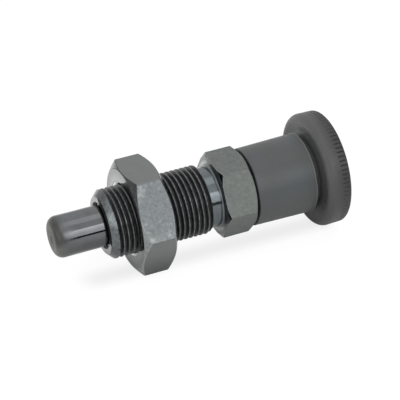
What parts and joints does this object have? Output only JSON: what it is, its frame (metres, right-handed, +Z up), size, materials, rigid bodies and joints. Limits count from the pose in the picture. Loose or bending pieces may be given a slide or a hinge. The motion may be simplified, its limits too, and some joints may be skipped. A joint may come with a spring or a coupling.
{
  "type": "indexing plunger",
  "caption": "Spring-loaded indexing plunger: threaded guide body with hexagon and lock nut, round pin and plastic pull knob.",
  "frame": {"origin": "on the pin's axis, at the centre of the seating face of the guide body's hexagon", "axes": "-X along the axis towards the index pin's tip, +X towards the pull knob, +Z up with the lock nut's flats level"},
  "size_m": [0.0864, 0.034, 0.0334],
  "materials": {
    "blackened_steel": "blackened, milled and turned",
    "pin_steel": "blackened and ground smooth",
    "spring_steel": "bright stainless wire",
    "bush_steel": "turned",
    "insert_brass": "turned",
    "knob_plastic": "matte black, finely eroded mould finish",
    "nut_steel": "blackened, slightly mottled"
  },
  "bodies": {
    "body": {"guide_body": "blackened_steel", "retaining_bush": "bush_steel"},
    "spring": {"compression_spring": "spring_steel"},
    "plunger": {"index_pin": "pin_steel", "knob_insert": "insert_brass", "pull_knob": "knob_plastic"},
    "nut": {"lock_nut": "nut_steel"}
  },
  "joints": [
    {"name": "plunger_pull", "type": "slide", "parent": "body", "child": "spring", "axis": [1, 0, 0], "range_m": [0, 0.0148], "stiffness_N_per_m": 2150, "springref_m": -0.01, "deforming": ["compression_spring"]},
    {"name": "knob_turn", "type": "hinge", "parent": "spring", "child": "plunger", "pos_m": [0, 0, 0], "axis": [1, 0, 0], "continuous": true},
    {"name": "lock_nut_travel", "type": "slide", "parent": "body", "child": "nut", "axis": [1, 0, 0], "range_m": [-0.0074, 0.0168]}
  ]
}
